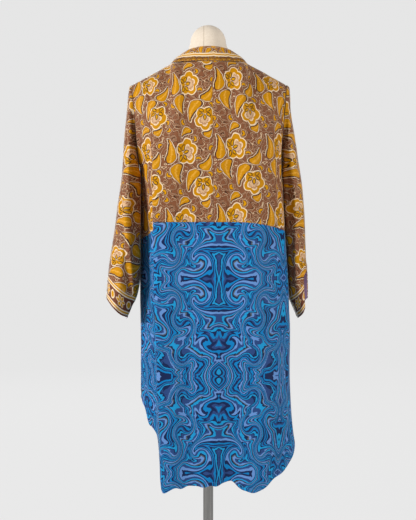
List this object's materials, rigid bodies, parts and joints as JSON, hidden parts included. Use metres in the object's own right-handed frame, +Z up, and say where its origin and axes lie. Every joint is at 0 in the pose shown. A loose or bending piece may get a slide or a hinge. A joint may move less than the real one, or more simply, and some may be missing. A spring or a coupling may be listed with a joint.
{
  "type": "long kimono robe on a limbless dress form",
  "caption": "Open-front kimono robe with wide sleeves, a standing neck band, a yoke-length bodice and a longer curved-hem skirt, worn by a limbless dress form on a pole stand",
  "frame": {"origin": "the middle of the part's box, on the floor under the round foot", "axes": "+Z is up, the wearer faces -Y, and the wearer's left hand is at +X"},
  "size_m": [0.56, 0.38, 1.509],
  "materials": {
    "floral_print": "soft silk crepe with a brown, gold and cream flower print",
    "floral_border": "soft silk crepe with a striped gold and brown border print",
    "marbled_print": "soft silk crepe with a mirrored blue marbled print",
    "linen": "stretched plain linen, matte",
    "pole_steel": "brushed",
    "foot_paint": "satin off-white paint"
  },
  "bodies": {
    "root": {"bodice_front_left": "floral_print", "bodice_back_left": "floral_print", "bodice_back_right": "floral_print", "bodice_front_right": "floral_print", "skirt_front_left": "marbled_print", "skirt_back": "marbled_print", "skirt_front_right": "marbled_print", "sleeve_left": "floral_print", "sleeve_right": "floral_print", "collar_back": "floral_border", "front_band_left": "floral_border", "front_band_right": "floral_border", "form_torso": "linen", "form_pole": "pole_steel", "form_foot": "foot_paint"}
  },
  "joints": []
}
